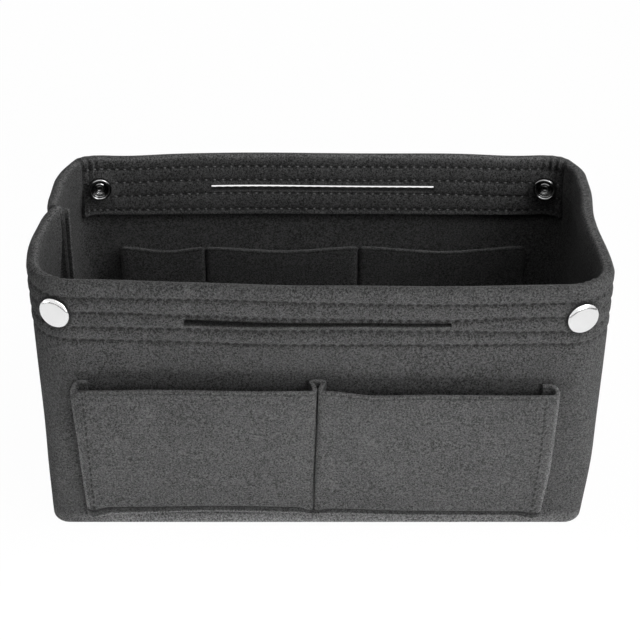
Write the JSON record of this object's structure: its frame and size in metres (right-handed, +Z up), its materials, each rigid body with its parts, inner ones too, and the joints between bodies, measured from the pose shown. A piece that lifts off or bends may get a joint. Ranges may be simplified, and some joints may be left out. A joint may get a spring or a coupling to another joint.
{
  "type": "purse organizer insert",
  "caption": "Open felt box that drops into a handbag, with hemmed mouth, hand slots, pocket strips inside and outside, and press snaps that draw the mouth narrower.",
  "frame": {"origin": "middle of the underside", "axes": "+X along the long walls to the right as seen from the front, +Y from the front wall to the back wall, +Z up out of the mouth"},
  "size_m": [0.26, 0.1476, 0.135],
  "materials": {
    "felt_wall": "matte",
    "felt_inside": "matte",
    "felt_pocket": "matte",
    "snap_silver": "polished",
    "snap_nickel": "polished"
  },
  "bodies": {
    "base": {"base_panel": "felt_inside"},
    "front_wall": {"front_panel": "felt_wall", "front_outer_pocket": "felt_pocket", "front_inner_pocket": "felt_inside", "front_left_snap_cap": "snap_silver", "front_right_snap_cap": "snap_silver", "front_left_snap_stud": "snap_nickel", "front_right_snap_stud": "snap_nickel"},
    "back_wall": {"back_panel": "felt_wall", "back_outer_pocket": "felt_pocket", "back_inner_pocket": "felt_inside", "back_left_snap_cap": "snap_silver", "back_right_snap_cap": "snap_silver", "back_left_snap_socket": "snap_nickel", "back_right_snap_socket": "snap_nickel", "back_left_snap_spring": "snap_nickel", "back_right_snap_spring": "snap_nickel"},
    "left_gusset_front_half": {"left_gusset_front": "felt_wall"},
    "left_gusset_back_half": {"left_gusset_back": "felt_wall"},
    "right_gusset_front_half": {"right_gusset_front": "felt_wall"},
    "right_gusset_back_half": {"right_gusset_back": "felt_wall"}
  },
  "joints": [
    {"name": "front_lean", "type": "hinge", "parent": "base", "child": "front_wall", "pos_m": [0, -0.062, 0.0073], "axis": [-1, 0, 0], "range_deg": [0, 11], "stiffness_Nm_per_rad": 0.1, "springref_deg": -5.73},
    {"name": "back_lean", "type": "hinge", "parent": "base", "child": "back_wall", "pos_m": [0, 0.062, 0.0073], "axis": [1, 0, 0], "range_deg": [0, 11.01], "stiffness_Nm_per_rad": 0.1, "springref_deg": -5.73},
    {"name": "left_fold_front", "type": "hinge", "parent": "front_wall", "child": "left_gusset_front_half", "pos_m": [-0.127, -0.062, 0.0073], "axis": [0.4199, 0.9034, 0.087], "range_deg": [0, 25.84]},
    {"name": "left_fold_back", "type": "hinge", "parent": "back_wall", "child": "left_gusset_back_half", "pos_m": [-0.127, 0.062, 0.0073], "axis": [-0.4199, 0.9034, -0.087], "range_deg": [0, 25.84]},
    {"name": "right_fold_front", "type": "hinge", "parent": "front_wall", "child": "right_gusset_front_half", "pos_m": [0.127, -0.062, 0.0073], "axis": [0.4199, -0.9034, -0.087], "range_deg": [0, 25.84]},
    {"name": "right_fold_back", "type": "hinge", "parent": "back_wall", "child": "right_gusset_back_half", "pos_m": [0.127, 0.062, 0.0073], "axis": [-0.4199, -0.9034, 0.087], "range_deg": [0, 25.84]}
  ],
  "couplings": [
    {"joint": "back_lean", "follows": "front_lean", "ratio": 1},
    {"joint": "left_fold_front", "follows": "front_lean", "ratio": 2.3483},
    {"joint": "left_fold_back", "follows": "front_lean", "ratio": 2.3483},
    {"joint": "right_fold_front", "follows": "front_lean", "ratio": 2.3483},
    {"joint": "right_fold_back", "follows": "front_lean", "ratio": 2.3483}
  ]
}
